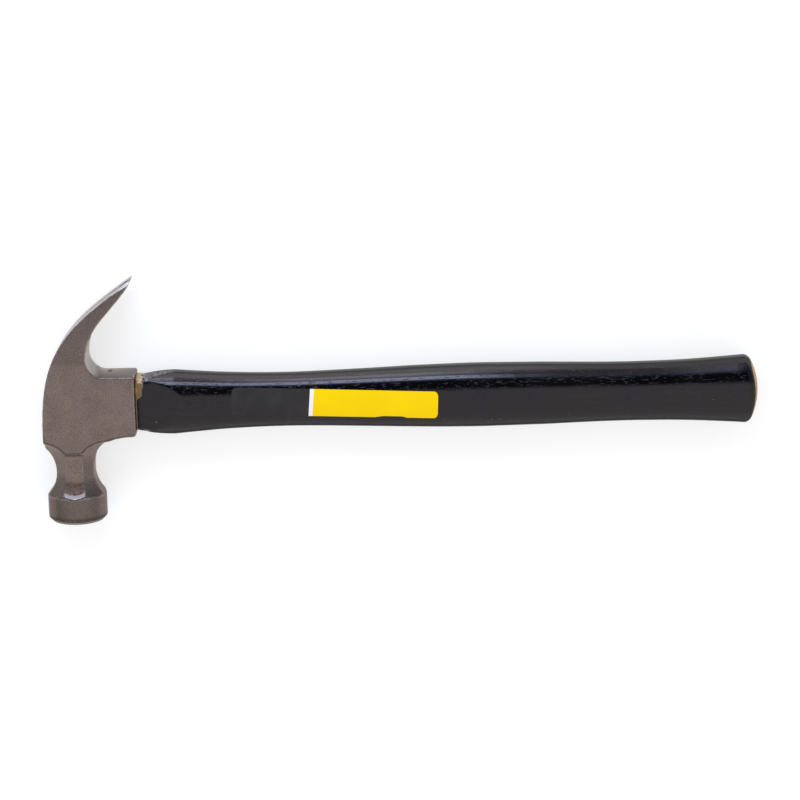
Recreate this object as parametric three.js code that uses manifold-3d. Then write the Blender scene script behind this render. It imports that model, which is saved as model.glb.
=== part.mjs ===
// Curved claw hammer: a forged steel head wedged onto a black lacquered wooden handle, lying on its side.
// Millimetres. +X runs from the head along the handle, +Y towards the claws, +Z up out of the cheek.
// The pieces are drawn with X = 0 on the axis of the poll and Y = Z = 0 on the axis of the eye.
import * as THREE from 'three';
import { mergeVertices } from 'three/addons/utils/BufferGeometryUtils.js';
import Module from 'manifold-3d';

// Head: cheeks and collar round the eye
const CHEEK_THICKNESS = 19.2;
const CHEEK_BACK = 11.8; // poll axis to the back of the cheeks, where the wedges show
const CHEEK_STEP_DROP = 18.8; // eye axis down to the step from cheek to neck
const CHEEK_STEP_RADIUS = 2.4;
const COLLAR_REACH = 25.4; // poll axis to the mouth of the collar
const COLLAR_HEIGHT = 24.3;
const COLLAR_CHAMFER = 0.7; // broken edge above and below the mouth
const COLLAR_BLEND_REACH = 14.2; // how far the fillet under the collar pulls along the collar
const COLLAR_BLEND_DROP = 9.0; // and along the neck

// Head: claw, as two curves from the tip down to the cheek and the throat
const CLAW_TIP_REACH = 25.1;
const CLAW_TIP_RISE = 50.4;
const CLAW_TIP_WIDTH = 15.2;
const CLAW_TIP_THICKNESS = 2.1;
const CLAW_TIP_LEAN = 71; // degrees from +X to the line across the blunt tip
const CLAW_OUTER_START_RISE = -11.2; // height where the back of the cheek starts to curve
const CLAW_OUTER_PULL = 34.4; // pull of the outer curve up the back of the cheek
const CLAW_OUTER_TIP_PULL = new THREE.Vector2(-26.4, -18.3);
const CLAW_INNER_TIP_PULL = new THREE.Vector2(-7.3, -10.6);
const CLAW_INNER_PULL = 12.0; // pull of the inner curve up from the throat
const CLAW_ROOT_REACH = 6.5; // poll axis to the deepest point of the inner curve
const CLAW_TAPER_RISE = 18.0; // height where the claw starts to narrow towards the tip
const THROAT_RADIUS = 7.4;
const NAIL_SLOT_LENGTH = 28.0;
const NAIL_SLOT_TIP_WIDTH = 4.8;
const NAIL_SLOT_ROOT_RADIUS = 0.6;
const NAIL_SLOT_ANGLE = 39.4; // degrees from +X to the run of the slot
const NAIL_SLOT_FLARE = 0.14; // widening of each side for each mm towards the inside of the claw
const NAIL_SLOT_CUT_DEPTH = 20.0; // to either side of the tip, more than the claw's thickness

// Head: eight-sided neck and round poll
const NECK_WIDTH = 14.9; // along the handle
const NECK_DEPTH = 16.8; // from cheek to cheek
const NECK_CORNER_WIDTH = 16.8; // between opposite corner facets
const NECK_WAIST_DROP = 26.8;
const NECK_CORNER_BLEND_RADIUS = 9.0; // from the corner facets up to the cheek
const CORNER_BLEND_RISE = 4.0; // waist up to the start of that blend
const NECK_BACK_BLEND_RADIUS = 12.0; // from the back facet up to the cheek
const NECK_SIDE_FLARE_RADIUS = 14.0; // these two from the facets out to the rim of the poll
const NECK_CORNER_FLARE_RADIUS = 13.0;
const NECK_LIP_RISE = 1.9; // straight lip between the front facet's flare and the rim of the poll
const NECK_LIP_ANGLE = 38; // degrees from the poll axis to the lip
const POLL_DIAMETER = 23.6;
const POLL_RIM_DROP = 36.8;
const FACE_DROP = 48.0;
const FACE_CROWN = 0.4;
const FACE_CHAMFER = 1.8;

// Eye, narrowest at its waist
const COLLAR_WALL = 1.65; // above and below the mouth of the eye
const CHEEK_WALL = 3.0; // at the sides of the mouth
const EYE_WAIST_REACH = 8.0;
const EYE_WAIST_DRAFT_DEPTH = 0.45; // each wall draws in by this from the mouth to the waist
const EYE_BACK_DRAFT_DEPTH = 0.4; // and opens by this from the waist to the back
const EYE_CORNER_RADIUS = 2.4;

// Clearance between neighbouring pieces
const FIT_GAP = 0.3;

// Handle
const HANDLE_REACH = 248.1; // mouth of the collar to the end of the butt
const SHOULDER_REACH = 15.5; // mouth of the collar to the crest of the shoulder
const SHOULDER_HEIGHT = 25.5;
const WAIST_HEIGHT = 21.4;
const SWELL_HEIGHT = 25.3; // in the middle of the grip
const SMALL_HEIGHT = 23.4; // before the butt
const BUTT_HEIGHT = 27.0;
const BUTT_LENGTH = 5.0; // at full height
const HANDLE_FLATNESS = 0.76; // depth of the section for its height
const HANDLE_SQUARENESS = 2.7; // 2 is an ellipse, more is squarer
const BUTT_DOME_RADIUS = 27.0;
const TANG_RISE = 0.165; // slope of the sawn faces above and below the tang
const TANG_SPREAD = 0.178; // slope of the sawn faces at its sides
const TANG_END_RECESS = 0.2;

// Wedges, driven in from the back of the eye
const WOOD_WEDGE_DEPTH = 20.0;
const WOOD_WEDGE_THICKNESS = 2.8;
const WOOD_WEDGE_TIP_THICKNESS = 0.8;
const STEEL_WEDGE_DEPTH = 11.0;
const STEEL_WEDGE_WIDTH = 8.6;
const STEEL_WEDGE_THICKNESS = 1.8;
const STEEL_WEDGE_TIP_THICKNESS = 0.6;
const STEEL_WEDGE_OFFSET = 5.0; // from the eye axis, one towards the claw and one towards the face

// Glue squeezed out at the mouth of the eye
const GLUE_HEIGHT = 0.8; // against the collar
const GLUE_EDGE_HEIGHT = 0.3; // at its thin edge on the tang
const GLUE_LENGTH_CLAW_SIDE = 3.0;
const GLUE_LENGTH_FACE_SIDE = 0.5;

// Label stuck on the side of the handle
const LABEL_LENGTH = 82.0;
const LABEL_HEIGHT = 11.0;
const LABEL_MIDDLE_REACH = 79.3; // to the middle of the label
const LABEL_CENTRE_RISE = -0.35;
const LABEL_TILT = -2.2; // degrees
const LABEL_CORNER_RADIUS = 1.6;
const LABEL_THICKNESS = 0.25;

// Fineness of the facets
const CURVE_STEPS = 20;
const ARC_STEPS = 10;
const ROUND_STEPS = 96;
const SECTION_STEPS = 56;
const STATION_STEPS = 5;

const CUT_MARGIN = 2.0; // how far cutting solids run past what they cut
const FAR = 80.0; // beyond every part of the head

const handleEnd = COLLAR_REACH + HANDLE_REACH;
const tangBack = -CHEEK_BACK + TANG_END_RECESS;
const eyeMouth = { height: COLLAR_HEIGHT - 2 * COLLAR_WALL, width: CHEEK_THICKNESS - 2 * CHEEK_WALL };
const eyeWaist = grown(eyeMouth, -EYE_WAIST_DRAFT_DEPTH);
const eyeBack = grown(eyeWaist, EYE_BACK_DRAFT_DEPTH);
const pollRadius = POLL_DIAMETER / 2;
const halfCheek = CHEEK_THICKNESS / 2;
const halfCollar = COLLAR_HEIGHT / 2;
const degrees = THREE.MathUtils.degToRad;

const wasm = await Module();
wasm.setup();

function grown({ height, width }, each) {
  return { height: height + 2 * each, width: width + 2 * each };
}

function solid(geometry) {
  const bare = geometry.clone();
  bare.deleteAttribute('normal');
  bare.deleteAttribute('uv');
  const merged = mergeVertices(bare);
  const triVerts = [];
  for (let i = 0; i < merged.index.count; i += 3) {
    const [a, b, c] = [0, 1, 2].map((k) => merged.index.getX(i + k));
    if (a !== b && b !== c && c !== a) triVerts.push(a, b, c);
  }
  const vertProperties = new Float32Array(merged.attributes.position.array);
  const mesh = new wasm.Mesh({ numProp: 3, vertProperties, triVerts: new Uint32Array(triVerts) });
  return new wasm.Manifold(mesh);
}

function pieceMesh(name, body, material) {
  const { vertProperties, triVerts } = body.getMesh();
  const geometry = new THREE.BufferGeometry();
  geometry.setAttribute('position', new THREE.BufferAttribute(new Float32Array(vertProperties), 3));
  geometry.setIndex(new THREE.BufferAttribute(new Uint32Array(triVerts), 1));
  geometry.computeVertexNormals();
  const mesh = new THREE.Mesh(geometry, new THREE.MeshStandardMaterial(material));
  mesh.name = name;
  return mesh;
}

// A shape drawn in local X and Y, extruded along local Z from one end to the other
function prism(shape, from, to, placement = new THREE.Matrix4()) {
  const options = { depth: to - from, bevelEnabled: false, curveSegments: CURVE_STEPS };
  const geometry = new THREE.ExtrudeGeometry(shape, options);
  geometry.translate(0, 0, from);
  geometry.applyMatrix4(placement);
  return solid(geometry);
}

// A closed skin over convex rings of points, set one after the other along +X
function loft(rings, placement = new THREE.Matrix4()) {
  const count = rings[0].length;
  const points = rings.flat();
  const index = [];
  for (let k = 0; k < rings.length - 1; k += 1) {
    for (let i = 0; i < count; i += 1) {
      const a = k * count + i;
      const b = k * count + ((i + 1) % count);
      index.push(a, b, a + count, b, b + count, a + count);
    }
  }
  const last = points.length - count;
  for (let i = 1; i < count - 1; i += 1) {
    index.push(0, i + 1, i);
    index.push(last, last + i, last + i + 1);
  }
  const geometry = new THREE.BufferGeometry().setFromPoints(points);
  geometry.setIndex(index);
  geometry.applyMatrix4(placement);
  return solid(geometry);
}

function roundedRectangle(x, { height, width }, radius) {
  const ring = [];
  for (let corner = 0; corner < 4; corner += 1) {
    const centreY = (height / 2 - radius) * (corner === 0 || corner === 3 ? 1 : -1);
    const centreZ = (width / 2 - radius) * (corner < 2 ? 1 : -1);
    for (let step = 0; step <= ARC_STEPS; step += 1) {
      const angle = (corner + step / ARC_STEPS) * (Math.PI / 2);
      const y = centreY + radius * Math.cos(angle);
      ring.push(new THREE.Vector3(x, y, centreZ + radius * Math.sin(angle)));
    }
  }
  return ring;
}

function rectangle(x, height, width, centreY = 0) {
  const corners = [[1, -1], [1, 1], [-1, 1], [-1, -1]];
  return corners.map(([y, z]) => new THREE.Vector3(x, centreY + (y * height) / 2, (z * width) / 2));
}

// Section of the handle: a squared ellipse
function handleSection(x, height, depth) {
  const power = 2 / HANDLE_SQUARENESS;
  const squared = (value) => Math.sign(value) * Math.abs(value) ** power;
  return Array.from({ length: SECTION_STEPS }, (_, i) => {
    const angle = ((i + 0.5) / SECTION_STEPS) * 2 * Math.PI;
    const y = (height / 2) * squared(Math.cos(angle));
    return new THREE.Vector3(x, y, (depth / 2) * squared(Math.sin(angle)));
  });
}

// Turn of an arc that spreads sideways by a given amount, a quarter turn at most
function flareTurn(spread, radius) {
  return Math.acos(Math.max(0, 1 - spread / radius));
}

// Outer curve of the claw from its tip down to the back of the cheek, as the four points of a cubic
function outerCurve() {
  return [
    new THREE.Vector2(CLAW_TIP_REACH, CLAW_TIP_RISE),
    new THREE.Vector2(CLAW_TIP_REACH, CLAW_TIP_RISE).add(CLAW_OUTER_TIP_PULL),
    new THREE.Vector2(-CHEEK_BACK, CLAW_OUTER_START_RISE + CLAW_OUTER_PULL),
    new THREE.Vector2(-CHEEK_BACK, CLAW_OUTER_START_RISE),
  ];
}

// Side view of the head: claw, cheek, collar and the waisted neck, down into the poll
function sideProfile() {
  const [tip, tipPull, cheekPull, cheek] = outerCurve();
  const lean = degrees(CLAW_TIP_LEAN);
  const acrossTip = new THREE.Vector2(Math.cos(lean), Math.sin(lean)).multiplyScalar(CLAW_TIP_THICKNESS);
  const innerTip = tip.clone().sub(acrossTip);
  const innerPull = CLAW_INNER_TIP_PULL.clone().add(innerTip);
  const throatTop = halfCollar + THROAT_RADIUS;
  const rootPull = throatTop + CLAW_INNER_PULL;
  const halfNeck = NECK_WIDTH / 2;
  const flareRadius = NECK_SIDE_FLARE_RADIUS;
  const flareCentre = halfNeck + flareRadius;
  const flare = flareTurn(pollRadius - halfNeck, flareRadius);
  const flareTop = flareRadius * Math.sin(flare) - POLL_RIM_DROP;
  const backRadius = NECK_BACK_BLEND_RADIUS;
  const backBlend = flareTurn(CHEEK_BACK - halfNeck, backRadius);
  const blendTop = COLLAR_BLEND_DROP - NECK_WAIST_DROP;
  const blendReach = COLLAR_REACH - COLLAR_BLEND_REACH;
  const shape = new THREE.Shape();
  const collarEnd = COLLAR_REACH - COLLAR_CHAMFER;
  shape.moveTo(COLLAR_REACH, COLLAR_CHAMFER - halfCollar);
  shape.lineTo(COLLAR_REACH, halfCollar - COLLAR_CHAMFER);
  shape.lineTo(collarEnd, halfCollar);
  shape.absarc(CLAW_ROOT_REACH + THROAT_RADIUS, throatTop, THROAT_RADIUS, -Math.PI / 2, Math.PI, true);
  shape.bezierCurveTo(CLAW_ROOT_REACH, rootPull, innerPull.x, innerPull.y, innerTip.x, innerTip.y);
  shape.lineTo(tip.x, tip.y);
  shape.bezierCurveTo(tipPull.x, tipPull.y, cheekPull.x, cheekPull.y, cheek.x, cheek.y);
  shape.lineTo(cheek.x, -NECK_WAIST_DROP + backRadius * Math.sin(backBlend));
  shape.absarc(-halfNeck - backRadius, -NECK_WAIST_DROP, backRadius, backBlend, 0, true);
  shape.absarc(-flareCentre, flareTop, flareRadius, 0, -flare, true);
  shape.lineTo(-pollRadius, -POLL_RIM_DROP);
  shape.lineTo(-pollRadius, -POLL_RIM_DROP - CUT_MARGIN);
  shape.lineTo(pollRadius, -POLL_RIM_DROP - CUT_MARGIN);
  shape.lineTo(pollRadius, -POLL_RIM_DROP);
  shape.absarc(flareCentre, flareTop, flareRadius, Math.PI + flare, Math.PI, true);
  shape.lineTo(halfNeck, -NECK_WAIST_DROP);
  shape.bezierCurveTo(halfNeck, blendTop, blendReach, -halfCollar, collarEnd, -halfCollar);
  return shape;
}

// Half of an outline that stands on the rim of the poll, drawn as half width against height
function rimOutline() {
  const outline = new THREE.Path();
  outline.moveTo(pollRadius, -POLL_RIM_DROP - CUT_MARGIN);
  outline.lineTo(pollRadius, -POLL_RIM_DROP);
  return outline;
}

function mirrored(outline) {
  const half = outline.getPoints(ARC_STEPS);
  const other = half.map((point) => new THREE.Vector2(-point.x, point.y)).reverse();
  return new THREE.Shape([...half, ...other]);
}

// View along the handle: the neck steps out to the flat cheeks, and the claw narrows to its tip
function cheekShape() {
  const halfNeck = NECK_DEPTH / 2;
  const step = flareTurn(halfCheek - halfNeck, CHEEK_STEP_RADIUS);
  const stepLow = -CHEEK_STEP_DROP - CHEEK_STEP_RADIUS * Math.sin(step);
  const lip = degrees(NECK_LIP_ANGLE);
  const flareWidth = pollRadius - NECK_LIP_RISE * Math.tan(lip) - halfNeck;
  const flareRadius = flareWidth / (1 - Math.cos(lip));
  const flareTop = NECK_LIP_RISE + flareRadius * Math.sin(lip) - POLL_RIM_DROP;
  const outline = rimOutline();
  outline.absarc(halfNeck + flareRadius, flareTop, flareRadius, Math.PI + lip, Math.PI, true);
  outline.absarc(halfNeck + CHEEK_STEP_RADIUS, stepLow, CHEEK_STEP_RADIUS, Math.PI, Math.PI - step, true);
  outline.lineTo(halfCheek, -CHEEK_STEP_DROP);
  outline.lineTo(halfCheek, CLAW_TAPER_RISE);
  outline.lineTo(CLAW_TIP_WIDTH / 2, CLAW_TIP_RISE);
  outline.lineTo(CLAW_TIP_WIDTH / 2, CLAW_TIP_RISE + CUT_MARGIN);
  return mirrored(outline);
}

// View across the corners of the neck
function cornerShape() {
  const halfNeck = NECK_CORNER_WIDTH / 2;
  const flareRadius = NECK_CORNER_FLARE_RADIUS;
  const flare = flareTurn(pollRadius - halfNeck, flareRadius);
  const flareTop = flareRadius * Math.sin(flare) - POLL_RIM_DROP;
  const outline = rimOutline();
  outline.absarc(halfNeck + flareRadius, flareTop, flareRadius, Math.PI + flare, Math.PI, true);
  const blendRadius = NECK_CORNER_BLEND_RADIUS;
  const blendLow = CORNER_BLEND_RISE - NECK_WAIST_DROP;
  outline.absarc(halfNeck + blendRadius, blendLow, blendRadius, Math.PI, Math.PI / 2, true);
  outline.lineTo(FAR, blendLow + blendRadius);
  outline.lineTo(FAR, FAR);
  return mirrored(outline);
}

// Looks along local Z with the shape's X across and its Y up the claw
function facing(across) {
  const up = new THREE.Vector3(0, 1, 0);
  return new THREE.Matrix4().makeBasis(across, up, new THREE.Vector3().crossVectors(across, up));
}

// Round envelope of the neck's foot, open above the waist
function pollEnvelope() {
  const profile = [
    new THREE.Vector2(0, -POLL_RIM_DROP - CUT_MARGIN / 2),
    new THREE.Vector2(pollRadius, -POLL_RIM_DROP - CUT_MARGIN / 2),
    new THREE.Vector2(pollRadius, -NECK_WAIST_DROP),
    new THREE.Vector2(FAR, -NECK_WAIST_DROP),
    new THREE.Vector2(FAR, FAR),
    new THREE.Vector2(0, FAR),
  ];
  return solid(new THREE.LatheGeometry(profile, ROUND_STEPS));
}

function poll() {
  const faceRadius = pollRadius - FACE_CHAMFER;
  const edgeHeight = -FACE_DROP + FACE_CROWN;
  const profile = new THREE.Path();
  profile.moveTo(0, -FACE_DROP);
  profile.quadraticCurveTo(faceRadius / 2, -FACE_DROP, faceRadius, edgeHeight);
  profile.lineTo(pollRadius, edgeHeight + FACE_CHAMFER);
  profile.lineTo(pollRadius, -POLL_RIM_DROP);
  profile.lineTo(0, -POLL_RIM_DROP);
  return solid(new THREE.LatheGeometry(profile.getPoints(ARC_STEPS), ROUND_STEPS));
}

// The slot runs from the tip down the claw and is wider on the inside of the claw
function nailSlot() {
  const angle = degrees(NAIL_SLOT_ANGLE);
  const along = new THREE.Vector3(Math.cos(angle), Math.sin(angle), 0);
  const inwards = new THREE.Vector3(Math.sin(angle), -Math.cos(angle), 0);
  const placement = new THREE.Matrix4().makeBasis(inwards, along, new THREE.Vector3(0, 0, 1));
  placement.setPosition(
    CLAW_TIP_REACH - NAIL_SLOT_LENGTH * along.x,
    CLAW_TIP_RISE - NAIL_SLOT_LENGTH * along.y,
    0,
  );
  const spread = (NAIL_SLOT_TIP_WIDTH / 2 - NAIL_SLOT_ROOT_RADIUS) / NAIL_SLOT_LENGTH;
  const end = NAIL_SLOT_LENGTH + CUT_MARGIN;
  const ring = (depth) => {
    const root = NAIL_SLOT_ROOT_RADIUS + Math.max(depth, 0) * NAIL_SLOT_FLARE;
    const points = [new THREE.Vector3(depth, end, -root - spread * end)];
    points.push(new THREE.Vector3(depth, end, root + spread * end));
    for (let step = 0; step <= ARC_STEPS; step += 1) {
      const turn = Math.PI / 2 + (step / ARC_STEPS) * Math.PI;
      points.push(new THREE.Vector3(depth, root * Math.cos(turn), root * Math.sin(turn)));
    }
    return points;
  };
  return loft([ring(-NAIL_SLOT_CUT_DEPTH), ring(0), ring(NAIL_SLOT_CUT_DEPTH)], placement);
}

// Sections of the eye from its back to its mouth, drawn in by a gap all round
function eyeSections(gap, backReach, mouthReach) {
  const radius = EYE_CORNER_RADIUS - gap;
  return [
    roundedRectangle(backReach, grown(eyeBack, -gap), radius),
    roundedRectangle(EYE_WAIST_REACH, grown(eyeWaist, -gap), radius),
    roundedRectangle(mouthReach, grown(eyeMouth, -gap), radius),
  ];
}

function head() {
  const across = new THREE.Vector3(1, 0, 0);
  const depthwise = new THREE.Vector3(0, 0, 1);
  let body = prism(sideProfile(), -pollRadius - CUT_MARGIN, pollRadius + CUT_MARGIN, facing(across));
  body = body.intersect(prism(cheekShape(), -FAR, FAR, facing(depthwise)));
  for (const side of [1, -1]) {
    const corner = new THREE.Vector3(1, 0, side).normalize();
    body = body.intersect(prism(cornerShape(), -FAR, FAR, facing(corner)));
  }
  body = body.intersect(pollEnvelope()).add(poll());
  const eye = loft(eyeSections(0, -CHEEK_BACK - CUT_MARGIN, COLLAR_REACH + CUT_MARGIN));
  return body.subtract(eye).subtract(nailSlot());
}

// Height of the handle at shares of the way from the crest of the shoulder to the butt
function handleStations() {
  const between = THREE.MathUtils.lerp;
  return [
    [0, SHOULDER_HEIGHT],
    [0.08, between(SHOULDER_HEIGHT, WAIST_HEIGHT, 0.66)],
    [0.185, WAIST_HEIGHT],
    [0.317, between(WAIST_HEIGHT, SWELL_HEIGHT, 0.33)],
    [0.422, between(WAIST_HEIGHT, SWELL_HEIGHT, 0.77)],
    [0.527, SWELL_HEIGHT],
    [0.633, between(SWELL_HEIGHT, SMALL_HEIGHT, 0.26)],
    [0.79, SMALL_HEIGHT],
    [0.896, between(SMALL_HEIGHT, BUTT_HEIGHT, 0.22)],
    [1, BUTT_HEIGHT],
  ];
}

// Rings of the handle's skin along its length, grown by an offset
function handleRings(offset = 0) {
  const crest = COLLAR_REACH + SHOULDER_REACH;
  const butt = handleEnd - BUTT_LENGTH;
  const along = handleStations().map(
    ([share, height]) => new THREE.Vector2(THREE.MathUtils.lerp(crest, butt, share), height),
  );
  const skin = new THREE.SplineCurve(along).getPoints(STATION_STEPS * (along.length - 1));
  skin.unshift(skin[0].clone().setX(-CHEEK_BACK));
  skin.push(skin[skin.length - 1].clone().setX(handleEnd + CUT_MARGIN));
  return skin.map(({ x, y }) => handleSection(x, y + 2 * offset, y * HANDLE_FLATNESS + 2 * offset));
}

// Section of the tang's sawn faces some way out of the mouth of the eye
function tangSection(x, each) {
  const run = x - COLLAR_REACH;
  const height = eyeMouth.height + 2 * (run * TANG_RISE + each);
  const width = eyeMouth.width + 2 * (run * TANG_SPREAD + each);
  return roundedRectangle(x, { height, width }, EYE_CORNER_RADIUS);
}

// The tang fills the eye and then widens in sawn faces until they run out on the shoulder
function tang() {
  const widest = tangSection(FAR, -FIT_GAP);
  const end = widest.map((point) => point.clone().setX(handleEnd + CUT_MARGIN));
  return loft([...eyeSections(FIT_GAP, tangBack, COLLAR_REACH), widest, end]);
}

// Everything in front of the back of the head, so that what fills the eye ends flush with it
function backTrim() {
  const recess = new THREE.Vector2(TANG_END_RECESS, 0);
  const [tip, tipPull, cheekPull, cheek] = outerCurve().map((point) => point.add(recess));
  const shape = new THREE.Shape();
  shape.moveTo(cheek.x, -FAR);
  shape.lineTo(cheek.x, cheek.y);
  shape.bezierCurveTo(cheekPull.x, cheekPull.y, tipPull.x, tipPull.y, tip.x, tip.y);
  shape.lineTo(handleEnd + CUT_MARGIN, tip.y);
  shape.lineTo(handleEnd + CUT_MARGIN, -FAR);
  return prism(shape, -FAR, FAR);
}

// A blade that thins towards its tip, driven in from the back of the eye
function wedge({ depth, height, tipHeight, width, tipWidth, centre = 0, gap = 0 }) {
  const start = gap > 0 ? tangBack - CUT_MARGIN : tangBack;
  const blade = loft([
    rectangle(start, height + 2 * gap, width + 2 * gap, centre),
    rectangle(tangBack + depth + gap, tipHeight + 2 * gap, tipWidth + 2 * gap, centre),
  ]);
  return gap > 0 ? blade : blade.intersect(backTrim());
}

function woodWedge(gap = 0, height = eyeWaist.height - 2 * FIT_GAP) {
  return wedge({
    depth: WOOD_WEDGE_DEPTH,
    height,
    tipHeight: height,
    width: WOOD_WEDGE_THICKNESS,
    tipWidth: WOOD_WEDGE_TIP_THICKNESS,
    gap,
  });
}

function steelWedge(centre, gap = 0) {
  return wedge({
    depth: STEEL_WEDGE_DEPTH,
    height: STEEL_WEDGE_THICKNESS,
    tipHeight: STEEL_WEDGE_TIP_THICKNESS,
    width: STEEL_WEDGE_WIDTH,
    tipWidth: STEEL_WEDGE_WIDTH,
    centre,
    gap,
  });
}

function cutForSteelWedges(body) {
  return body
    .subtract(steelWedge(STEEL_WEDGE_OFFSET, FIT_GAP))
    .subtract(steelWedge(-STEEL_WEDGE_OFFSET, FIT_GAP));
}

// What lies outside the dome of the butt
function buttTrim() {
  const centre = handleEnd - BUTT_DOME_RADIUS;
  const block = new THREE.BoxGeometry(2 * BUTT_DOME_RADIUS, 2 * FAR, 2 * FAR);
  block.translate(centre + BUTT_DOME_RADIUS, 0, 0);
  const dome = new THREE.SphereGeometry(BUTT_DOME_RADIUS, ROUND_STEPS, ROUND_STEPS / 2);
  dome.rotateZ(Math.PI / 2);
  dome.translate(centre, 0, 0);
  return solid(block).subtract(solid(dome));
}

function handle() {
  const skin = loft(handleRings());
  const body = skin.intersect(tang()).intersect(backTrim()).subtract(buttTrim());
  const kerf = woodWedge(FIT_GAP, eyeBack.height + CUT_MARGIN);
  return cutForSteelWedges(body.subtract(kerf));
}

// A bead round the tang against the mouth of the collar, longest on the claw side
function eyeGlue() {
  const reach = COLLAR_REACH + GLUE_LENGTH_CLAW_SIDE;
  const outside = loft([tangSection(COLLAR_REACH, GLUE_HEIGHT), tangSection(reach, GLUE_EDGE_HEIGHT)]);
  const bore = loft([tangSection(COLLAR_REACH - CUT_MARGIN, 0), tangSection(reach + CUT_MARGIN, 0)]);
  const trim = new THREE.Shape([
    new THREE.Vector2(COLLAR_REACH - CUT_MARGIN, halfCollar),
    new THREE.Vector2(COLLAR_REACH - CUT_MARGIN, -halfCollar),
    new THREE.Vector2(COLLAR_REACH + GLUE_LENGTH_FACE_SIDE, -halfCollar),
    new THREE.Vector2(reach, halfCollar),
  ]);
  return outside.subtract(bore).intersect(prism(trim, -FAR, FAR));
}

// A thin film that follows the side of the handle
function label() {
  const halfLength = LABEL_LENGTH / 2;
  const halfHeight = LABEL_HEIGHT / 2;
  const r = LABEL_CORNER_RADIUS;
  const outline = new THREE.Shape();
  outline.absarc(halfLength - r, halfHeight - r, r, 0, Math.PI / 2, false);
  outline.absarc(r - halfLength, halfHeight - r, r, Math.PI / 2, Math.PI, false);
  outline.absarc(r - halfLength, r - halfHeight, r, Math.PI, 1.5 * Math.PI, false);
  outline.absarc(halfLength - r, r - halfHeight, r, 1.5 * Math.PI, 2 * Math.PI, false);
  const placement = new THREE.Matrix4().makeRotationZ(degrees(LABEL_TILT));
  placement.setPosition(COLLAR_REACH + LABEL_MIDDLE_REACH, LABEL_CENTRE_RISE, 0);
  const under = loft(handleRings(FIT_GAP));
  const over = loft(handleRings(FIT_GAP + LABEL_THICKNESS));
  return over.subtract(under).intersect(prism(outline, 0, FAR, placement));
}

const FORGED_STEEL = { color: 0x766b65, metalness: 0.9, roughness: 0.42 };
const WEDGE_STEEL = { color: 0x8d8f92, metalness: 0.9, roughness: 0.4 };
const BLACK_LACQUER = { color: 0x131214, metalness: 0.0, roughness: 0.22 };
const PALE_WOOD = { color: 0xc9a06a, metalness: 0.0, roughness: 0.7 };
const AMBER_GLUE = { color: 0xb98b4c, metalness: 0.0, roughness: 0.35 };
const LABEL_FILM = { color: 0xf5cf1a, metalness: 0.0, roughness: 0.4 };

const hammer = new THREE.Group();
hammer.add(
  pieceMesh('head', head(), FORGED_STEEL),
  pieceMesh('handle', handle(), BLACK_LACQUER),
  pieceMesh('wood_wedge', cutForSteelWedges(woodWedge()), PALE_WOOD),
  pieceMesh('steel_wedge_claw_side', steelWedge(STEEL_WEDGE_OFFSET), WEDGE_STEEL),
  pieceMesh('steel_wedge_face_side', steelWedge(-STEEL_WEDGE_OFFSET), WEDGE_STEEL),
  pieceMesh('eye_glue', eyeGlue(), AMBER_GLUE),
  pieceMesh('label', label(), LABEL_FILM),
);

// The origin is the middle of the bottom of the hammer's box, where the poll touches the table
const box = new THREE.Box3().setFromObject(hammer, true);
const middle = box.getCenter(new THREE.Vector3());
hammer.position.set(-middle.x, -middle.y, -box.min.z);

export default hammer;
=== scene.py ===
"""Curved claw hammer: forged steel head, black lacquered wooden handle, wedges, glue bead and label.

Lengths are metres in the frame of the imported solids: +X along the handle, +Y to the claws, +Z up.
"""

import math

import bmesh
import bpy
import numpy as np
from bpy.props import FloatProperty, FloatVectorProperty, IntProperty, PointerProperty
from mathutils import Matrix, Vector, noise


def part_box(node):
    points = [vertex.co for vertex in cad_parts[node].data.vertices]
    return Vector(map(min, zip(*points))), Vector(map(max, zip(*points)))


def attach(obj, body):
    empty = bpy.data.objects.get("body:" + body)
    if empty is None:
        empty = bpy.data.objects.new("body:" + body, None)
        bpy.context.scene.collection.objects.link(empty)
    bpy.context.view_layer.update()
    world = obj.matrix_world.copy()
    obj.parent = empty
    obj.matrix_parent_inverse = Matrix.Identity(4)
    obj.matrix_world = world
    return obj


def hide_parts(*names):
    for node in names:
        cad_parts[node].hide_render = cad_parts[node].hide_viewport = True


bl_info = {
    "name": "Curved Claw Hammer",
    "version": (1, 0, 0),
    "blender": (4, 5, 0),
    "location": "View3D > Sidebar > Hammer",
    "description": "Builds the head, handle, wedges, glue and label of a curved claw hammer",
    "category": "Mesh",
}

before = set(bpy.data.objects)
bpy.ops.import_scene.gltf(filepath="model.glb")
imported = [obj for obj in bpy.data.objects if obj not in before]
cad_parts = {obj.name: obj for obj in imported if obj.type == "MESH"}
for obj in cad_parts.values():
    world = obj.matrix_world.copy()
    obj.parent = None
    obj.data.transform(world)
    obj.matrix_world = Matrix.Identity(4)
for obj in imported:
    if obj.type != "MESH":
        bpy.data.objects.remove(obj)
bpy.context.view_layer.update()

MM = 0.001
MERGE = 1e-7
# Each wedge and its material slot
WEDGES = {
    "wood_wedge": "wedge_wood",
    "steel_wedge_claw_side": "wedge_steel",
    "steel_wedge_face_side": "wedge_steel",
}

# Places in the frame
HEAD_LOW, HEAD_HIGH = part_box("head")
HANDLE_LOW, HANDLE_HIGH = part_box("handle")
EYE_Y = (HANDLE_LOW.y + HANDLE_HIGH.y) / 2
EYE_Z = (HANDLE_LOW.z + HANDLE_HIGH.z) / 2
MOUTH_X = HEAD_HIGH.x
BACK_X = HEAD_LOW.x
BUTT_X = HANDLE_HIGH.x
POLL_Y = HEAD_LOW.y

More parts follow.
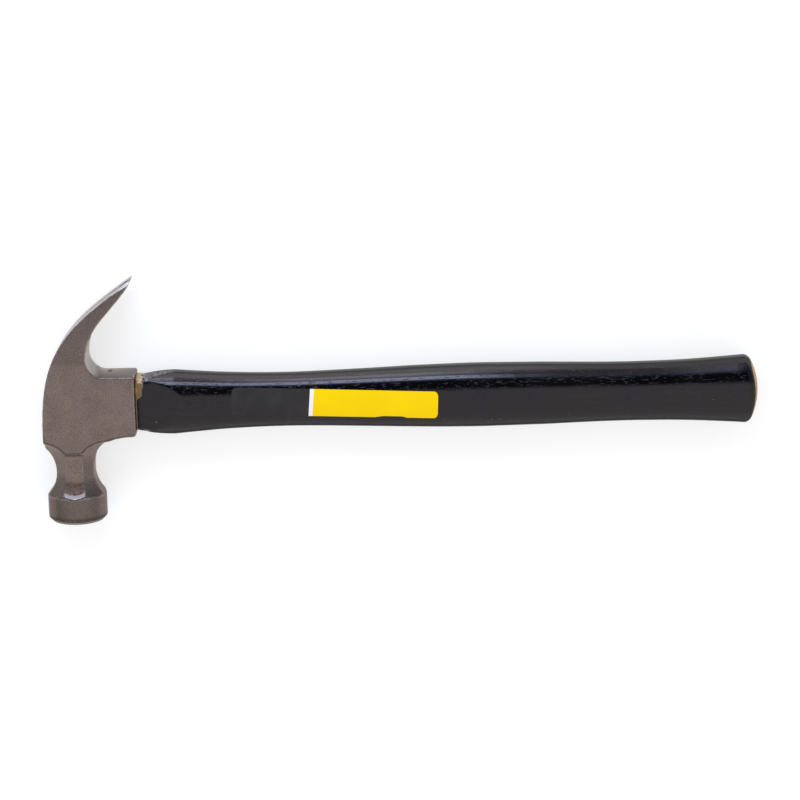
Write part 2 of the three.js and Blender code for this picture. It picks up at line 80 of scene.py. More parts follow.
# Head: rises and drops are from the eye axis
POLL_RADIUS = 11.8 * MM
POLL_AXIS_X = BACK_X + POLL_RADIUS
RIM_DROP = 36.8 * MM
RIM_Y = EYE_Y - RIM_DROP
LIP_ANGLE = math.radians(38.0)
CHEEK_HALF_THICKNESS = 9.6 * MM
COLLAR_RISE = 12.15 * MM
# Outer curve of the claw, where the eye opens: control points in mm from the poll axis and the eye axis
BACK_CURVE = ((-11.8, -11.2), (-11.8, 23.2), (-1.3, 32.1), (25.1, 50.4))
CLAW_SLOPE = math.radians(35.0)
CLAW_RISES = np.array([18.0, 50.4]) * MM
CLAW_HALF_WIDTHS = np.array([9.6, 7.6]) * MM
CLAW_OUTWARDS = np.array([-0.75, 0.66, 0.0])
THROAT_INWARDS = np.array([0.94, 0.34, 0.0])
BEVEL_START = 16.0 * MM
BEVEL_LEAN = 0.9
BEVEL_REACH = 0.15 * MM
PIT_PLACE = np.array([MOUTH_X - 10.6 * MM, EYE_Y + COLLAR_RISE, EYE_Z - 4.8 * MM])
PIT_RADII = np.array([0.9, 0.9, 2.2]) * MM
# Turn of the skin, per metre, where an edge starts to be rubbed and where it is rubbed in full
EDGE_START, EDGE_FULL = 345.0, 1090.0

# Tang and handle: runs are from the mouth of the collar towards the butt
EYE_BACK_RUN = -37.2 * MM
EYE_WAIST_RUN = -17.4 * MM
TANG_RUNS = np.array([EYE_BACK_RUN, EYE_WAIST_RUN, 0.0, 60.0 * MM])
TANG_HALF_HEIGHTS = np.array([10.15, 9.75, 10.2, 20.1]) * MM
TANG_HALF_DEPTHS = np.array([6.25, 5.85, 6.3, 16.98]) * MM
TANG_CORNER = 2.3 * MM
TANG_RECESS = 0.2 * MM
TANG_RINGS = np.array([-33.0, -29.0, -25.0, -21.0, -17.4, -12.0, -8.0, -4.0, -1.0]) * MM
FACET_EDGE = 0.35 * MM
SAW_START = 1.5 * MM
SAW_PITCH = 0.95 * MM
AROUND = 176
KERF_STAND_OUT = 3.0 * MM
# The growth rings run round a pith that lies this far outside the handle
PITH_Y, PITH_Z = 0.031, 0.017
# Glue: its gap to the collar, and how far it sinks into the tang
GLUE_GAP, GLUE_SINK = 0.03 * MM, 0.04 * MM

# Label: places along it as shares of its length, and the shallow tear in its lower edge
STRIPE_START, STRIPE_END, STRIPE_BLUR, STRIPE_LEAN = 0.3735, 0.3925, 0.0006, 0.006
NICK_START, NICK_END, NICK_DEPTH = 57.0 * MM, 70.0 * MM, 0.55 * MM

# Stage
STRIP_SIZE = (0.46, 0.22)
STRIP_X, STRIP_DISTANCE, STRIP_RISE = -0.15, 0.7, math.radians(41.0)
VIEW_MIDDLE = Vector((-0.21 * MM, -2.84 * MM, EYE_Z))


def length(name, text, value):
    """A length in metres, written in millimetres."""
    return FloatProperty(name=name, description=text, default=value * MM, unit="LENGTH", precision=5)


def angle(name, text, value):
    """An angle, written in degrees."""
    return FloatProperty(name=name, description=text, default=math.radians(value), subtype="ANGLE")


def number(name, text, value, **more):
    """A plain number, or one with a unit."""
    return FloatProperty(name=name, description=text, default=value, **more)


def colour(name, text, value):
    """A linear colour."""
    return FloatVectorProperty(
        name=name, description=text, default=value, size=3, subtype="COLOR", min=0.0, max=1.0
    )


class HammerHead(bpy.types.PropertyGroup):
    """Sizes and colours of the forged head."""

    skin: length("Skin", "Spacing of the points on the forged skin", 0.352)
    rounding: IntProperty(name="Rounding", description="Passes that round the edges", default=2, min=0)
    chamfer: length("Chamfer", "Depth of the chamfer round the striking face", 2.1)
    lip_rise: length("Lip Rise", "Height of the lip over the rim of the poll", 1.55)
    lip_half_width: length("Lip Half Width", "Middle of the neck to the end of the lip", 5.2)
    flare_rise: length("Flare Rise", "Height of the rough flare over the lip", 4.3)
    bevel: length("Bevel", "Width of the bevel on the outer edges of the claw at the tips", 0.9)
    pit_depth: length("Pit Depth", "Depth of the pit on top of the collar", 0.5)
    steel: colour("Steel", "Lacquered forged steel", (0.300, 0.230, 0.202))
    scale: colour("Scale", "Darker patches of forging scale", (0.132, 0.100, 0.087))
    speck: colour("Speck", "Dark specks in the steel", (0.060, 0.048, 0.042))
    # Dark steel in the pit, on the turned face and up the claw, and the colour of the painted shade on the
    # neck, collar and poll
    dark_steel_and_shade: colour("Dark Steel and Shade", "Scale left in folds and pits", (0.060, 0.045, 0.038))
    # Also the colour of the painted highlights on the collar's top and the rim of the poll
    bright: colour("Bright", "Ground faces and rubbed edges", (0.70, 0.65, 0.62))
    belt_mark: colour("Belt Mark", "Scratches that the grinding belt leaves", (0.42, 0.385, 0.365))
    lip_steel: colour("Lip Steel", "Smooth steel of the lip", (0.098, 0.082, 0.080))
    flare_steel: colour("Flare Steel", "Rough steel of the flare", (0.225, 0.152, 0.116))
    crust: colour("Crust", "Scale left on the flare", (0.080, 0.055, 0.044))


class HammerHandle(bpy.types.PropertyGroup):
    """Sizes and colours of the wooden handle."""

    shoulder_reach: length("Shoulder Reach", "Mouth of the collar to the crest of the shoulder", 15.5)
    shoulder_height: length("Shoulder Height", "Height at the crest of the shoulder", 25.5)
    waist_height: length("Waist Height", "Height at the waist", 21.4)
    swell_height: length("Swell Height", "Height in the middle of the grip", 25.3)
    small_height: length("Small Height", "Height before the butt", 23.4)
    butt_height: length("Butt Height", "Height of the butt", 27.0)
    butt_length: length("Butt Length", "Length of the butt at full height", 5.0)
    dome_radius: length("Dome Radius", "Radius of the domed end", 27.0)
    rim_radius: length("Rim Radius", "Rounding between the butt and its domed end", 3.2)
    flatness: number("Flatness", "Depth of the section for its height", 0.76)
    squareness: number("Squareness", "Roundness of the section, where 2 is an ellipse", 2.7)
    ripple: length("Ripple", "Waviness of the lacquered surface", 0.035)
    chatter: length("Chatter", "Depth of the saw marks above and below the tang", 0.11)
    lacquer: colour("Lacquer", "Black lacquer", (0.0020, 0.0018, 0.0021))
    lacquer_thin: colour("Thin Lacquer", "Lacquer where the wood shows through", (0.0052, 0.0043, 0.0040))
    lacquer_sawn: colour("Sawn Lacquer", "Lacquer on the ridges of the sawn faces", (0.235, 0.215, 0.220))
    lacquer_groove: colour("Groove Lacquer", "Lacquer between those ridges", (0.045, 0.041, 0.043))
    dust: colour("Dust", "Specks caught in the lacquer", (0.30, 0.28, 0.26))
    wood: colour("Wood", "Bare early wood on the domed end", (0.62, 0.36, 0.145))
    wood_ring: colour("Wood Ring", "Late wood on the domed end", (0.42, 0.205, 0.072))


class HammerTrim(bpy.types.PropertyGroup):
    """Sizes and colours of the wedges, the glue and the label."""

    arris: length("Arris", "Broken edge of the wedges", 0.12)
    kerf_gap: length("Kerf Gap", "Gap between the wedges and the tang", 0.12)
    wedge_wood: colour("Wedge Wood", "Pale wood of the wedge", (0.60, 0.43, 0.23))
    wedge_steel: colour("Wedge Steel", "Mild steel of the wedges", (0.44, 0.43, 0.42))
    glue_length: length("Glue Length", "Reach of the glue on the claw side", 3.1)
    seam_length: length("Seam Length", "Reach of the glue on the face side", 0.55)
    glue_height: length("Glue Height", "Height of the glue against the collar", 0.95)
    glue_pale: colour("Glue", "Glue where it is thick", (0.62, 0.44, 0.23))
    glue_gold: colour("Gold Glue", "Clear glue against the collar", (0.50, 0.27, 0.03))
    glue_dark: colour("Dark Glue", "Glue over the dark wood", (0.135, 0.085, 0.042))
    label_length: length("Label Length", "Length of the label", 82.0)
    label_height: length("Label Height", "Height of the label", 11.0)
    label_reach: length("Label Reach", "Mouth of the collar to the middle of the label", 79.3)
    label_rise: length("Label Rise", "Middle of the label above the axis", -0.35)
    label_tilt: angle("Label Tilt", "Turn of the label", -2.2)
    label_corner: length("Label Corner", "Corner radius of the label", 1.7)
    label_film: length("Label Film", "Thickness of the film", 0.1)
    film_dark: colour("Dark Film", "Dark panel", (0.030, 0.0275, 0.028))
    film_pale: colour("Pale Film", "Stripe between the panels", (0.83, 0.83, 0.84))
    film_yellow: colour("Yellow Film", "Yellow panel", (0.94, 0.64, 0.002))


class HammerStage(bpy.types.PropertyGroup):
    """Floor, light and camera."""

    floor: colour("Floor", "Pale floor", (0.46, 0.46, 0.46))
    floor_glow: number("Floor Glow", "White that the floor adds where it is seen", 0.62)
    soft_light: number("Soft Light", "Level of the soft light all round", 0.9)
    strip_light: number("Strip Light", "Power of the strip light", 1.9, unit="POWER")
    strip_colour: colour("Strip Colour", "Colour of the strip light", (0.66, 0.76, 1.0))
    lens: number("Lens", "Focal length", 135.0, subtype="DISTANCE_CAMERA")
    distance: length("Distance", "Camera to the middle of the view", 1200.0)
    tilt: angle("Tilt", "Camera leans this far to the claw side", 13.0)
    roll: angle("Roll", "The handle rises this much in the view", 1.34)


# Meshes


def merged_copy(node):
    """The node's solid as a new bmesh with its loose triangles joined."""
    bm = bmesh.new()
    bm.from_mesh(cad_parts[node].data)
    bmesh.ops.remove_doubles(bm, verts=bm.verts, dist=MERGE)
    return bm


def new_piece(name, bm, *materials):
    """An object at the origin with its place in its mesh."""
    mesh = bpy.data.meshes.new(name)
    bm.to_mesh(mesh)
    bm.free()
    for material in materials:
        mesh.materials.append(material)
    piece = bpy.data.objects.new(name, mesh)
    bpy.context.scene.collection.objects.link(piece)
    return piece


def set_modifiers(piece):
    """Replaces the piece's mesh by what its modifiers make of it."""
    graph = bpy.context.evaluated_depsgraph_get()
    made = bpy.data.meshes.new_from_object(piece.evaluated_get(graph))
    piece.modifiers.clear()
    old = piece.data
    piece.data = made
    bpy.data.meshes.remove(old)
    made.name = piece.name


def shade_smooth(piece, sharp_degrees=None):
    """Smooth shading, with edges kept sharp that turn by more than the angle."""
    mesh = piece.data
    mesh.polygons.foreach_set("use_smooth", [True] * len(mesh.polygons))
    if sharp_degrees is not None:
        mesh.set_sharp_from_angle(angle=math.radians(sharp_degrees))


def dress(piece, slot, *nodes):
    """The piece rides on the hammer and stands for the nodes."""
    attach(piece, "root")
    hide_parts(*nodes)


def vectors(mesh, name):
    """Places or normals of the mesh's points."""
    values = np.empty(len(mesh.vertices) * 3)
    mesh.vertices.foreach_get(name, values)
    return values.reshape(-1, 3)


def keep_mask(mesh, name, mask):
    """Keeps a value for each point, which the materials read by name."""
    mesh.attributes.new(name, "FLOAT", "POINT").data.foreach_set("value", mask.astype(np.float32))


def ramp(value, start, full):
    """0 up to start and 1 from full on, where full may be the smaller of the two."""
    return np.clip((value - start) / (full - start), 0.0, 1.0)


# Shape and marks of the head


def back_curve():
    """Points down the outer curve of the claw from the poll axis and the eye axis."""
    t = np.linspace(0.0, 1.0, 200)[:, None]
    p0, p1, p2, p3 = (np.array(p) * MM for p in BACK_CURVE)
    return p0 * (1 - t) ** 3 + 3 * p1 * t * (1 - t) ** 2 + 3 * p2 * t * t * (1 - t) + p3 * t**3


def grind_prongs(mesh, width):
    """Bevels the outer edges of the claw, wider towards the tips, and returns which points are ground."""
    points = vectors(mesh, "co")
    curve = back_curve()
    x, rise, middle = points[:, 0] - POLL_AXIS_X, points[:, 1] - EYE_Y, points[:, 2] - EYE_Z
    below = (np.interp(x, curve[:, 0], curve[:, 1]) - rise) * math.cos(CLAW_SLOPE)
    wide = width * ramp(x, BEVEL_START, curve[-1, 0]) * (rise > BEVEL_START)
    half = np.interp(rise, CLAW_RISES, CLAW_HALF_WIDTHS) - BEVEL_LEAN * np.clip(wide - below, 0.0, wide)
    points[:, 2] = np.where(wide > below, EYE_Z + np.clip(middle, -half, half), points[:, 2])
    mesh.vertices.foreach_set("co", points.ravel())
    mesh.update()
    return (wide > below) & (np.abs(middle) > half - BEVEL_REACH)


def press_pit(mesh, depth):
    """Presses an oval pit into the top of the collar, and returns how deep in it each point lies."""
    points, normals = vectors(mesh, "co"), vectors(mesh, "normal")
    share = np.clip(1.0 - (((points - PIT_PLACE) / PIT_RADII) ** 2).sum(1), 0.0, 1.0) ** 0.5
    mesh.vertices.foreach_set("co", (points - normals * (depth * share)[:, None]).ravel())
    mesh.update()
    keep_mask(mesh, "pit", share)
    return share


def mark_edges(mesh):
    """Keeps how sharply the skin turns outwards at each point."""
    count = len(mesh.vertices)
    points, normals = vectors(mesh, "co"), vectors(mesh, "normal")
    edges = np.empty(len(mesh.edges) * 2, dtype=np.int64)
    mesh.edges.foreach_get("vertices", edges)
    a, b = edges.reshape(-1, 2).T
    apart = points[a] - points[b]
    turn = ((normals[a] - normals[b]) * apart).sum(1) / np.maximum((apart * apart).sum(1), 1e-12)
    total, meets = np.zeros(count), np.zeros(count)
    for end in (a, b):
        np.add.at(total, end, turn)
        np.add.at(meets, end, 1.0)
    keep_mask(mesh, "edge", ramp(total / np.maximum(meets, 1.0), EDGE_START, EDGE_FULL))


def claw_shine(rise, normals):
    """How bright the claw is ground: down its outer curve, and in the throat, with painted shade that dims
    the throat towards the collar.
    """
    outer = ramp(rise, 11 * MM, 23 * MM) * ramp(normals @ CLAW_OUTWARDS, 0.7, 0.82)
    throat = ramp(rise, 11.9 * MM, 13.9 * MM) * ramp(rise, 30 * MM, 21 * MM)
    # Painted shade: the throat is dimmer towards the collar
    throat *= ramp(normals @ THROAT_INWARDS, 0.6, 0.85) * (0.6 + 0.4 * ramp(rise, 14 * MM, 19 * MM))
    return np.maximum(outer, throat)


def painted_collar_light(points, rise, upward):
    """Painted reflection and painted shade on the collar's top: a painted reflection bright by the floor,
    painted shade higher up and at its mouth.
    """
    on_top = ramp(upward, 0.8, 0.95) * (np.abs(rise - COLLAR_RISE) < 1.5 * MM)
    far = (EYE_Z - points[:, 2]) / CHEEK_HALF_THICKNESS
    inwards = MOUTH_X - points[:, 0]
    inner = 0.45 + 0.7 * ramp(inwards, 0.0, 13 * MM) + 0.5 * ramp(inwards, 11 * MM, 16 * MM)
    # Painted reflection of the floor, brighter by the floor and away from the mouth
    bright = on_top * inner * (np.clip(0.1 + 0.3 * far, 0.0, 1.0) + 0.5 * ramp(far, 0.4, 0.9))
    # Painted shade: a line along the upper part, the upper half, by the mouth and along the upper edge
    line = 0.85 * np.exp(-(((far + 0.68) / 0.15) ** 2))
    near = 0.72 * ramp(far, 0.1, -0.8)
    mouth = 0.45 * ramp(inwards, 9 * MM, 0.0) * ramp(far, 0.9, 0.6)
    arris = 0.5 * (far < -0.86) * (np.abs(rise - COLLAR_RISE) < 0.8 * MM) * (upward > 0.2)
    return bright, np.maximum(on_top * np.max([line, near, mouth], axis=0), arris)


def mark_ground(mesh, bevel, pit):
    """Keeps where the claw is ground bright, where the collar's top and the rim of the poll have a painted
    highlight, and where the collar has painted shade.
    """
    points, normals = vectors(mesh, "co"), vectors(mesh, "normal")
    rise = points[:, 1] - EYE_Y
    # The collar's top: its painted reflection and its painted shade
    collar, dull = painted_collar_light(points, rise, normals[:, 1])
    radius = np.hypot(points[:, 0] - POLL_AXIS_X, points[:, 2] - EYE_Z)
    # A thin painted highlight along the rim of the poll
    rim = 0.3 * np.exp(-(((points[:, 1] - RIM_Y) / (0.25 * MM)) ** 2)) * (radius > POLL_RADIUS - 0.6 * MM)
    bright = np.max([claw_shine(rise, normals), bevel, collar, rim], axis=0)
    keep_mask(mesh, "ground", bright * (1.0 - pit))
    keep_mask(mesh, "dull", dull)


def mark_neck(mesh, sizes):
    """Keeps the smooth lip over the rim of the poll, the rough flare above it, and painted shade in the
    neck's folds and flanks.
    """
    points, normals = vectors(mesh, "co"), vectors(mesh, "normal")
    across = np.abs(points[:, 0] - POLL_AXIS_X)
    sag = POLL_RADIUS - np.sqrt(np.maximum(POLL_RADIUS**2 - across**2, 0.0))
    over_rim = points[:, 1] - RIM_Y - sag / math.tan(LIP_ANGLE)
    facet = (across < sizes.lip_half_width) & (np.abs(normals[:, 0]) < 0.3) & (normals[:, 1] > 0.02)
    flare_top = sizes.lip_rise + sizes.flare_rise
    keep_mask(mesh, "lip", facet & (over_rim > -0.1 * MM) & (over_rim < sizes.lip_rise))
    keep_mask(mesh, "flare", facet & (over_rim >= sizes.lip_rise) & (over_rim < flare_top))
    drop = EYE_Y - points[:, 1]
    lean = np.degrees(np.arccos(np.clip(np.abs(normals[:, 2]), 0.0, 1.0)))
    # Painted shade in the V where the neck folds into the cheeks
    fold = ramp(drop, 9 * MM, 13 * MM) * ramp(drop, 20.2 * MM, 19.6 * MM)
    fold *= ramp(lean, 0.5, 2.0) * ramp(lean, 24.0, 15.0)
    # Painted shade on the lower flanks of the neck, on both sides
    low = ramp(drop, 26 * MM, 35 * MM) * (drop < RIM_DROP)
    painted_flank_shade = 0.62 * ramp(normals[:, 0], -0.2, -0.5) + 0.5 * ramp(normals[:, 0], 0.7, 0.9)
    keep_mask(mesh, "fold", np.maximum(fold, low * painted_flank_shade))


# Shape of the handle


def squared_radius(c, s, half_height, half_depth, squareness):
    """Distance from the axis to a squared ellipse in the direction c, s."""
    total = np.abs(c / half_height) ** squareness + np.abs(s / half_depth) ** squareness
    return total ** (-1.0 / squareness)


def boxed_radius(c, s, half_height, half_depth, corner):
    """Distance from the axis to a rectangle with round corners in the direction c, s."""
    c, s = np.abs(c), np.abs(s)
    flat = np.minimum(half_height / np.maximum(c, 1e-9), half_depth / np.maximum(s, 1e-9))
    middle_y, middle_z = half_height - corner, half_depth - corner
    along = c * middle_y + s * middle_z
    reach = along * along - middle_y**2 - middle_z**2 + corner**2
    rounded = along + np.sqrt(np.maximum(reach, 0.0))
    in_corner = (flat * c > middle_y) & (flat * s > middle_z)
    return np.where(in_corner, rounded, flat)


def soft_least(a, b, blend):
    """The smaller of two lengths, with the edge between them rounded."""
    share = np.maximum(blend - np.abs(a - b), 0.0) / blend
    return np.minimum(a, b) - share * share * blend / 4


def handle_height(sizes):
    """Height of the handle as a function of the distance from the mouth of the collar."""
    crest = sizes.shoulder_reach
    butt = BUTT_X - MOUTH_X - sizes.butt_length
    shoulder, waist, swell = sizes.shoulder_height, sizes.waist_height, sizes.swell_height
    small, end = sizes.small_height, sizes.butt_height
    shares = (0.0, 0.08, 0.185, 0.317, 0.422, 0.527, 0.633, 0.79, 0.896, 1.0)
    heights = np.array([
        shoulder, shoulder + 0.66 * (waist - shoulder), waist, waist + 0.33 * (swell - waist),
        waist + 0.77 * (swell - waist), swell, swell + 0.26 * (small - swell), small,
        small + 0.22 * (end - small), end,
    ])
    runs = crest + np.array(shares) * (butt - crest)
    slopes = np.gradient(heights, runs)
    slopes[0] = (heights[1] - heights[0]) / (runs[1] - runs[0])

    def height(run):
        run = np.clip(run, runs[0], runs[-1])
        k = np.clip(np.searchsorted(runs, run) - 1, 0, len(runs) - 2)
        step = runs[k + 1] - runs[k]
        t = (run - runs[k]) / step
        return (
            heights[k] * (1 + 2 * t) * (1 - t) ** 2
            + slopes[k] * step * t * (1 - t) ** 2
            + heights[k + 1] * t * t * (3 - 2 * t)
            + slopes[k + 1] * step * t * t * (t - 1)
        )

    return height


def back_of_head(y):
    """Place along X of the curved back of the head at a height above the eye axis."""
    curve = back_curve()
    return POLL_AXIS_X + np.interp(y, curve[:, 1], curve[:, 0])


def tang_halves(run):
    """Half height and half depth of the tang, and of the sawn faces that run out of it."""
    return np.interp(run, TANG_RUNS, TANG_HALF_HEIGHTS), np.interp(run, TANG_RUNS, TANG_HALF_DEPTHS)


def tang_radius(run, c, s):
    """Distance from the axis to the tang or its sawn faces."""
    return boxed_radius(c, s, *tang_halves(run), TANG_CORNER)


def skin_radius(sizes, height, run, c, s):
    """Distance from the axis to the turned skin of the handle."""
    half = height(run) / 2
    return squared_radius(c, s, half, half * sizes.flatness, sizes.squareness)


def waviness(run, c, s, stretch, across):
    """Slow noise over the skin, from about -1 to 1."""
    return np.array([
        noise.noise(Vector((run / stretch, y * across, z * across))) for y, z in zip(c, s)
    ])


def sawn_share(run, c, s):
    """1 on the sawn faces above and below the tang, 0 at its planed sides."""
    half_height, half_depth = tang_halves(run)
    lean = (np.abs(c) * half_depth - np.abs(s) * half_height) / half_height
    return ramp(lean, -0.1, 0.0)


def saw_marks(run, c, s):
    """Slanting ridges that a saw leaves."""
    slant = run / SAW_PITCH + 2.2 * s
    jitter = waviness(run, c, s, 1.7 * MM, 5.0)
    return np.sin(2 * math.pi * slant + 2.5 * jitter) * 0.5 + 0.9 * jitter


def handle_rings(sizes, c, s):
    """Rings of the handle from the tang's end to the middle of the dome.

    Each has its places along X, its radii, its marks and whether it is bare wood. A mark is 1 where the
    handle is sawn and -1 where it is planed.
    """
    height = handle_height(sizes)
    zero = np.zeros_like(c)
    rings = []
    tang_end = tang_radius(EYE_BACK_RUN, c, s)
    for share in (0.0, 0.3, 0.6, 0.85, 0.96, 1.0):
        radius = tang_end * share
        rings.append((back_of_head(radius * c) + TANG_RECESS, radius, zero, True))
    for run in TANG_RINGS:
        rings.append((np.full_like(c, MOUTH_X + run), tang_radius(run, c, s), zero, False))

    butt_run = BUTT_X - MOUTH_X
    runs = [
        np.arange(-0.4, 27.0, 0.32) * MM,
        np.arange(27.2, 34.0, 0.8) * MM,
        np.arange(34.8 * MM, butt_run - 8.5 * MM, 1.5 * MM),
    ]
    for run in np.concatenate(runs):
        skin = skin_radius(sizes, height, run, c, s)
        skin = skin + sizes.ripple * waviness(run, c, s, 11 * MM, 1.3)
        skin = skin + 0.3 * sizes.ripple * waviness(run, c, s, 4 * MM, 3.5)
        sawn = tang_radius(run, c, s)
        fade = ramp(run, SAW_START, SAW_START + 2.0 * MM) * sawn_share(run, c, s)
        mark = ramp(skin - sawn, 0.0, 0.3 * MM) * (2 * fade - 1)
        radius = soft_least(skin, sawn + sizes.chatter * saw_marks(run, c, s) * fade, FACET_EDGE)
        rings.append((np.full_like(c, MOUTH_X + run), radius, mark, False))

    side = skin_radius(sizes, height, butt_run, c, s)
    centre = BUTT_X - sizes.dome_radius
    inner = sizes.dome_radius - sizes.rim_radius
    contact = np.arcsin((side - sizes.rim_radius) / inner)
    rim_x = centre + inner * np.cos(contact)
    for share in np.linspace(0.0, 1.0, 11):
        turn = math.pi / 2 + (contact - math.pi / 2) * share
        radius = side - sizes.rim_radius + sizes.rim_radius * np.sin(turn)
        rings.append((rim_x + sizes.rim_radius * np.cos(turn), radius, zero, share > 0.75))
    dome = sizes.dome_radius * np.sin(contact)
    for share in (0.985, 0.94, 0.87, 0.78, 0.68, 0.56, 0.43, 0.28, 0.14, 0.0):
        radius = dome * share
        rings.append((centre + np.sqrt(sizes.dome_radius**2 - radius**2), radius, zero, True))
    return rings


def handle_mesh(sizes):
    """The handle as a grid wrapped round the axis, closed at both ends."""
    angles = np.linspace(-math.pi, math.pi, AROUND + 1)
    c, s = np.cos(angles), np.sin(angles)
    rings = handle_rings(sizes, c, s)
    last = len(rings) - 1
    bm = bmesh.new()
    sawn = bm.verts.layers.float.new("sawn")
    bmesh.ops.create_grid(bm, x_segments=AROUND, y_segments=last, size=1.0)
    bare = set()
    for vert in bm.verts:
        i = round((vert.co.x + 1) / 2 * AROUND)
        k = round((vert.co.y + 1) / 2 * last)
        x, radius, mark, is_bare = rings[k]
        vert.co = (x[i], EYE_Y + radius[i] * c[i], EYE_Z + radius[i] * s[i])
        vert[sawn] = mark[i]
        if is_bare:
            bare.add(vert)
    for face in bm.faces:
        face.smooth = True
        face.material_index = int(sum(vert in bare for vert in face.verts) >= 3)
    bmesh.ops.remove_doubles(bm, verts=bm.verts, dist=MERGE)
    bmesh.ops.recalc_face_normals(bm, faces=bm.faces)
    return bm


def kerf_cutter(node, gap):
    """A wedge grown by the gap on every side, which stands out of the back of the eye."""
    bm = merged_copy(node)
    bmesh.ops.recalc_face_normals(bm, faces=bm.faces)
    low = Vector([min(v.co[i] for v in bm.verts) for i in range(3)])
    high = Vector([max(v.co[i] for v in bm.verts) for i in range(3)])
    middle = (low + high) / 2
    half = (high - low) / 2
    for vert in bm.verts:
        for i in range(3):
            vert.co[i] = middle[i] + (vert.co[i] - middle[i]) * (half[i] + gap) / half[i]
        if vert.co.x < middle.x:
            vert.co.x -= KERF_STAND_OUT
    return new_piece("kerf_" + node, bm)


# Shapes of the glue and the label


def glue_mesh(trim):
    """A ring of round section, pressed against the collar and slumped along the tang."""
    bm = bmesh.new()
    offset = 4.0
    ring = bmesh.ops.create_circle(
        bm, segments=14, radius=1.0, matrix=Matrix.Translation((0, offset, 0))
    )["verts"]
    bmesh.ops.spin(
        bm, geom=ring + bm.edges[:], cent=(0, 0, 0), axis=(1, 0, 0), angle=2 * math.pi, steps=220,
        use_merge=True,
    )
    for vert in bm.verts:
        turn = math.atan2(vert.co.z, vert.co.y)
        c, s = math.cos(turn), math.sin(turn)
        lump = noise.noise(Vector((c * 2.6, s * 2.6, 3.1)))
        drip = noise.noise(Vector((c * 6.5, s * 6.5, 7.7)))
        thick = min(max((c - 0.32) / 0.26, 0.0), 1.0)
        thick = thick * thick * (3 - 2 * thick)
        reach = trim.seam_length + (trim.glue_length - trim.seam_length) * thick
        reach *= 1.0 + 0.35 * lump + 0.25 * drip
        rise = trim.glue_height * (0.45 + 0.55 * thick) * (1.0 + 0.4 * drip + 0.2 * lump)
        along = (vert.co.x + 1) / 2
        above = (math.hypot(vert.co.y, vert.co.z) - offset + 1) / 2
        run = GLUE_GAP + along * reach
        slump = (1.0 - 0.8 * along**1.3) * rise
        base = float(tang_radius(run, np.array([c]), np.array([s]))[0])
        radius = base - GLUE_SINK + above * slump
        vert.co = (MOUTH_X + run, EYE_Y + radius * c, EYE_Z + radius * s)
    bmesh.ops.remove_doubles(bm, verts=bm.verts, dist=MERGE)
    bmesh.ops.recalc_face_normals(bm, faces=bm.faces)
    return bm


def nick(along):
    """Depth of the shallow tear in the lower edge of the film."""
    share = (along - NICK_START) / (NICK_END - NICK_START)
    if not 0.0 < share < 1.0:
        return 0.0
    return NICK_DEPTH * min(1.0, 4.0 * share, 6.0 * (1.0 - share))


def label_mesh(trim, sizes):
    """A film with round corners, laid on the side of the handle, with its own flat UV map."""
    height = handle_height(sizes)
    half_length, half_height = trim.label_length / 2, trim.label_height / 2
    corner = trim.label_corner
    bm = bmesh.new()
    bmesh.ops.create_grid(bm, x_segments=164, y_segments=22, size=1.0)
    layer = bm.loops.layers.uv.new("label")
    turn = Matrix.Rotation(trim.label_tilt, 2)
    flat = {}
    for vert in bm.verts:
        u = vert.co.x * half_length
        inset = max(0.0, abs(u) - (half_length - corner))
        reach = half_height - corner + math.sqrt(max(corner**2 - inset**2, 0.0))
        v = vert.co.y * (reach if vert.co.y > 0 else reach - nick(u + half_length))
        flat[vert] = ((u + half_length) / trim.label_length, (v + half_height) / trim.label_height)
        across = turn @ Vector((u, v))
        run = trim.label_reach + across.x
        y = trim.label_rise + across.y
        half = float(height(np.array([run]))[0]) / 2
        share = 1.0 - abs(y / half) ** sizes.squareness
        z = half * sizes.flatness * share ** (1.0 / sizes.squareness)
        vert.co = (MOUTH_X + run, EYE_Y + y, EYE_Z + z + trim.label_film / 2)
    for face in bm.faces:
        for loop in face.loops:
            loop[layer].uv = flat[loop.vert]
    bmesh.ops.recalc_face_normals(bm, faces=bm.faces)
    if sum(face.normal.z for face in bm.faces) < 0:
        bmesh.ops.reverse_faces(bm, faces=bm.faces)
    bmesh.ops.solidify(bm, geom=bm.faces[:], thickness=-trim.label_film)
    return bm


# Nodes


